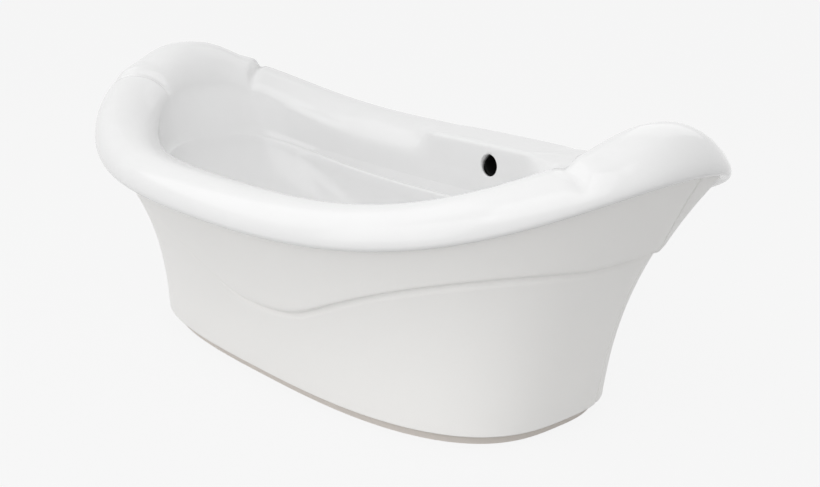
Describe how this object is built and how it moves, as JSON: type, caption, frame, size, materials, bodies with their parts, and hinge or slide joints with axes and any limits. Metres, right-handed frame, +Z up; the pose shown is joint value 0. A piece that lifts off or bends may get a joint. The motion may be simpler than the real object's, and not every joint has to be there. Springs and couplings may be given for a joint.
{
  "type": "freestanding bathtub",
  "caption": "Freestanding oval bathtub with high ends, a rolled rim, a tap deck and a waved two-piece apron, on levelling feet with a pop-up waste.",
  "frame": {"origin": "on the floor under the middle of the bath", "axes": "+X along the bath, +Y towards the side with the tap deck and the overflow, +Z up"},
  "size_m": [1.5998, 0.9258, 0.599],
  "materials": {
    "gelcoat": "glossy white moulded surface",
    "apron": "satin white with a fine grain",
    "sealant": "white adhesive",
    "plinth": "plain warm grey",
    "board": "raw particle board",
    "frame": "black powder coat",
    "cap": "black plastic",
    "zinc": "zinc plated",
    "chrome": "polished chrome",
    "rubber": "black rubber",
    "pipe": "white pipe plastic",
    "hose": "grey flexible plastic"
  },
  "bodies": {
    "tub": {"basin": "gelcoat", "front_apron": "apron", "rear_apron": "apron", "rim_bead": "sealant", "plinth_ring": "plinth", "floor_board": "board", "left_cross_bar": "frame", "right_cross_bar": "frame", "bar_end_caps": "cap", "bar_brackets": "zinc", "bracket_screws": "zinc", "board_screws": "zinc", "seam_bolts": "zinc", "seam_nuts": "zinc", "plinth_screws": "zinc", "foot_nuts": "zinc", "waste_flange": "chrome", "waste_top_gasket": "rubber", "waste_bottom_gasket": "rubber", "trap_bowl": "pipe", "trap_dip_tube": "pipe", "overflow_gasket": "rubber", "overflow_elbow": "pipe", "overflow_hose": "hose", "hose_clips": "zinc"},
    "foot_1": {"foot_pad_1": "cap", "foot_stud_1": "zinc"},
    "foot_2": {"foot_pad_2": "cap", "foot_stud_2": "zinc"},
    "foot_3": {"foot_pad_3": "cap", "foot_stud_3": "zinc"},
    "foot_4": {"foot_pad_4": "cap", "foot_stud_4": "zinc"},
    "plug": {"waste_plug": "chrome", "plug_seal": "rubber"}
  },
  "joints": [
    {"name": "foot_1_level", "type": "slide", "parent": "tub", "child": "foot_1", "axis": [0, 0, -1], "range_m": [-0.002, 0.012]},
    {"name": "foot_2_level", "type": "slide", "parent": "tub", "child": "foot_2", "axis": [0, 0, -1], "range_m": [-0.002, 0.012]},
    {"name": "foot_3_level", "type": "slide", "parent": "tub", "child": "foot_3", "axis": [0, 0, -1], "range_m": [-0.002, 0.012]},
    {"name": "foot_4_level", "type": "slide", "parent": "tub", "child": "foot_4", "axis": [0, 0, -1], "range_m": [-0.002, 0.012]},
    {"name": "plug_lift", "type": "slide", "parent": "tub", "child": "plug", "axis": [0, 0, 1], "range_m": [0, 0.01]}
  ]
}
